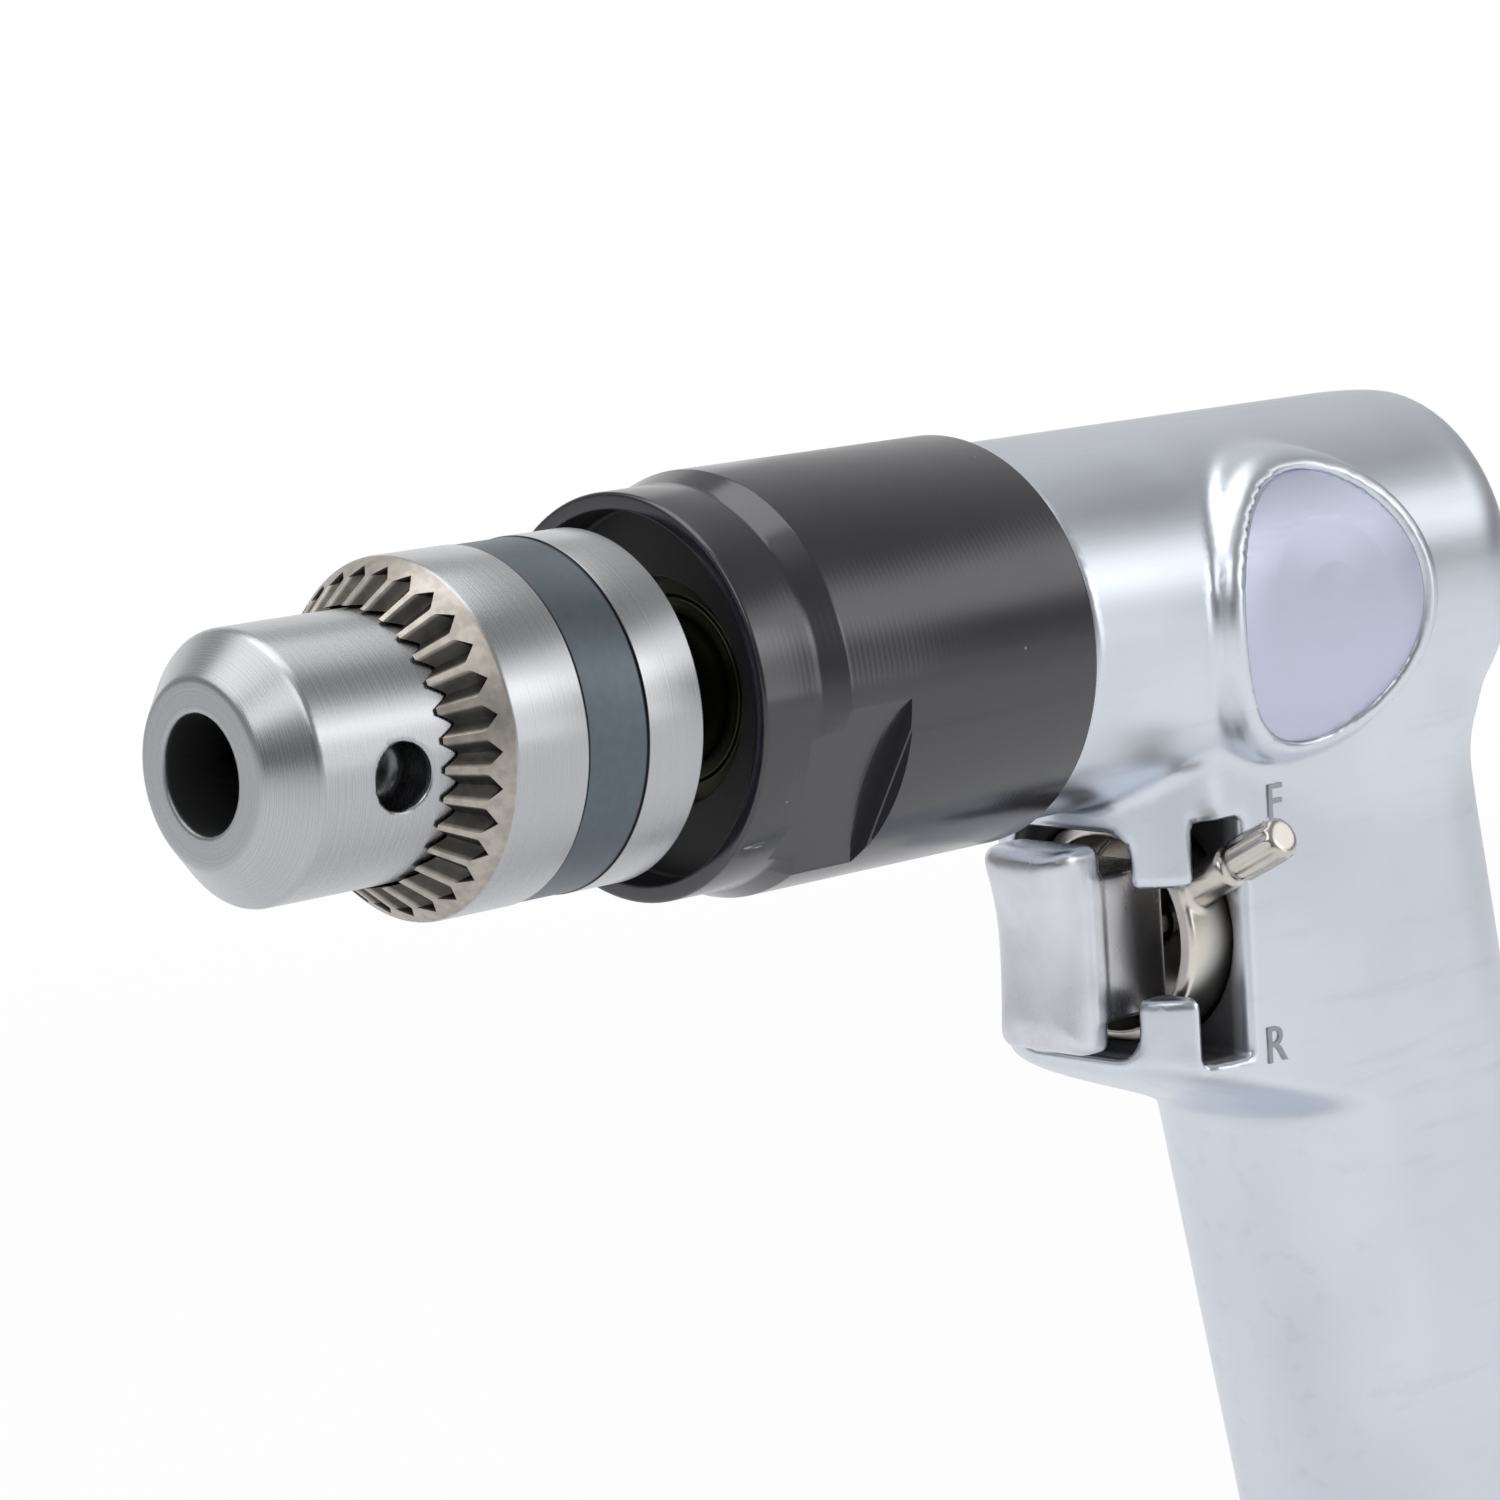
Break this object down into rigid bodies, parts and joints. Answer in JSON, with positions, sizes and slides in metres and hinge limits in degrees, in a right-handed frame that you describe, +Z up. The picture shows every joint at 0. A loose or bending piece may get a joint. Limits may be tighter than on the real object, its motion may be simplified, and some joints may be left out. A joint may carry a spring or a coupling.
{
  "type": "pneumatic drill",
  "caption": "Pistol-grip air drill with a keyed chuck, planetary gears and vane motor, reversing lever behind the trigger, and an air inlet under the grip.",
  "frame": {"origin": "on the flat face under the handle, between the exhaust slots and the air inlet, in the tool's middle plane", "axes": "-X along the spindle towards the chuck's nose; +Z up from the handle's base to the motor; +Y to the tool's right, so the label pad and the reversing lever are at -Y"},
  "size_m": [0.1824, 0.0455, 0.1509],
  "materials": {
    "housing_alloy": "polished casting with a soft buffed sheen",
    "label_plate": "bare satin plate",
    "black_sleeve": "glossy black over turned metal",
    "gear_steel": "oiled, hardened",
    "bearing_steel": "ground",
    "motor_alloy": "machined",
    "motor_steel": "machined and oiled",
    "seal_rubber": "smooth",
    "spring_steel": "drawn wire",
    "cap_plastic": "fine grained",
    "screw_steel": "black oxide",
    "muffler_felt": "pressed felt",
    "inlet_steel": "zinc plated",
    "screen_brass": "punched",
    "vane_composite": "laminated phenolic",
    "chuck_steel": "machined with fine turning marks",
    "chuck_sleeve_steel": "polished sleeve with grainy bevel teeth",
    "jaw_steel": "hardened",
    "trigger_alloy": "polished",
    "lever_nickel": "nickel plated",
    "valve_brass": "turned"
  },
  "bodies": {
    "housing": {"motor_housing": "housing_alloy", "label_plate": "label_plate", "front_sleeve": "black_sleeve", "ring_gear": "gear_steel", "spindle_bearing": "bearing_steel", "front_rotor_bearing": "bearing_steel", "rear_rotor_bearing": "bearing_steel", "front_end_plate": "motor_alloy", "rear_end_plate": "motor_alloy", "cylinder_liner": "motor_steel", "motor_dowel": "motor_steel", "throttle_seat": "seal_rubber", "detent_ball": "bearing_steel", "detent_spring": "spring_steel", "exhaust_cap": "cap_plastic", "cap_screw_1": "screw_steel", "cap_screw_2": "screw_steel", "muffler_pad": "muffler_felt", "inlet_bushing": "inlet_steel", "inlet_screen": "screen_brass", "throttle_spring": "spring_steel"},
    "rotor": {"rotor": "motor_steel", "rotor_vane_1": "vane_composite", "rotor_vane_2": "vane_composite", "rotor_vane_3": "vane_composite", "rotor_vane_4": "vane_composite", "rotor_vane_5": "vane_composite"},
    "spindle": {"spindle": "motor_steel", "carrier_back_plate": "motor_steel", "planet_pin_1": "bearing_steel", "planet_pin_2": "bearing_steel", "planet_pin_3": "bearing_steel", "chuck_body": "chuck_steel", "chuck_screw": "screw_steel"},
    "planet_1": {"planet_gear_1": "gear_steel"},
    "planet_2": {"planet_gear_2": "gear_steel"},
    "planet_3": {"planet_gear_3": "gear_steel"},
    "chuck_sleeve": {"chuck_sleeve": "chuck_sleeve_steel", "chuck_nut_half_1": "jaw_steel", "chuck_nut_half_2": "jaw_steel"},
    "jaw_1": {"chuck_jaw_1": "jaw_steel"},
    "jaw_2": {"chuck_jaw_2": "jaw_steel"},
    "jaw_3": {"chuck_jaw_3": "jaw_steel"},
    "trigger": {"trigger": "trigger_alloy", "trigger_stem": "motor_steel"},
    "reverse_lever": {"reverse_lever": "lever_nickel", "reverse_valve": "valve_brass", "front_valve_seal": "seal_rubber", "rear_valve_seal": "seal_rubber", "stem_seal": "seal_rubber"},
    "throttle_valve": {"throttle_valve": "valve_brass"}
  },
  "joints": [
    {"name": "spindle_spin", "type": "hinge", "parent": "housing", "child": "spindle", "pos_m": [-0.106, 0, 0.13], "axis": [-1, 0, 0], "continuous": true},
    {"name": "rotor_spin", "type": "hinge", "parent": "housing", "child": "rotor", "pos_m": [-0.0557, 0, 0.13], "axis": [-1, 0, 0], "continuous": true},
    {"name": "planet_spin_1", "type": "hinge", "parent": "spindle", "child": "planet_1", "pos_m": [-0.0885, 0, 0.13945], "axis": [-1, 0, 0], "continuous": true},
    {"name": "planet_spin_2", "type": "hinge", "parent": "spindle", "child": "planet_2", "pos_m": [-0.0885, 0.00818, 0.12527], "axis": [-1, 0, 0], "continuous": true},
    {"name": "planet_spin_3", "type": "hinge", "parent": "spindle", "child": "planet_3", "pos_m": [-0.0885, -0.00818, 0.12527], "axis": [-1, 0, 0], "continuous": true},
    {"name": "chuck_sleeve_turn", "type": "hinge", "parent": "spindle", "child": "chuck_sleeve", "pos_m": [-0.1387, 0, 0.13], "axis": [1, 0, 0], "range_deg": [0, 3600]},
    {"name": "jaw_slide_1", "type": "slide", "parent": "spindle", "child": "jaw_1", "axis": [-0.9613, 0.162, -0.223], "range_m": [0, 0.016]},
    {"name": "jaw_slide_2", "type": "slide", "parent": "spindle", "child": "jaw_2", "axis": [-0.9613, -0.2741, -0.0288], "range_m": [0, 0.016]},
    {"name": "jaw_slide_3", "type": "slide", "parent": "spindle", "child": "jaw_3", "axis": [-0.9613, 0.1121, 0.2518], "range_m": [0, 0.016]},
    {"name": "trigger_pull", "type": "slide", "parent": "housing", "child": "trigger", "axis": [1, 0, 0], "range_m": [0, 0.005], "stiffness_N_per_m": 1500, "springref_m": -0.003},
    {"name": "throttle_valve_slide", "type": "slide", "parent": "housing", "child": "throttle_valve", "axis": [1, 0, 0], "range_m": [0, 0.005], "deforming": ["throttle_spring"]},
    {"name": "reverse_lever_turn", "type": "hinge", "parent": "housing", "child": "reverse_lever", "pos_m": [-0.0389, 0, 0.0962], "axis": [1, 0, 0], "range_deg": [0, 54]}
  ],
  "couplings": [
    {"joint": "rotor_spin", "follows": "spindle_spin", "ratio": 4.5},
    {"joint": "planet_spin_1", "follows": "spindle_spin", "ratio": -2.8},
    {"joint": "planet_spin_2", "follows": "spindle_spin", "ratio": -2.8},
    {"joint": "planet_spin_3", "follows": "spindle_spin", "ratio": -2.8},
    {"joint": "jaw_slide_1", "follows": "chuck_sleeve_turn", "m_per_rad": 0.00025464},
    {"joint": "jaw_slide_2", "follows": "chuck_sleeve_turn", "m_per_rad": 0.00025464},
    {"joint": "jaw_slide_3", "follows": "chuck_sleeve_turn", "m_per_rad": 0.00025464},
    {"joint": "throttle_valve_slide", "follows": "trigger_pull", "ratio": 1}
  ]
}
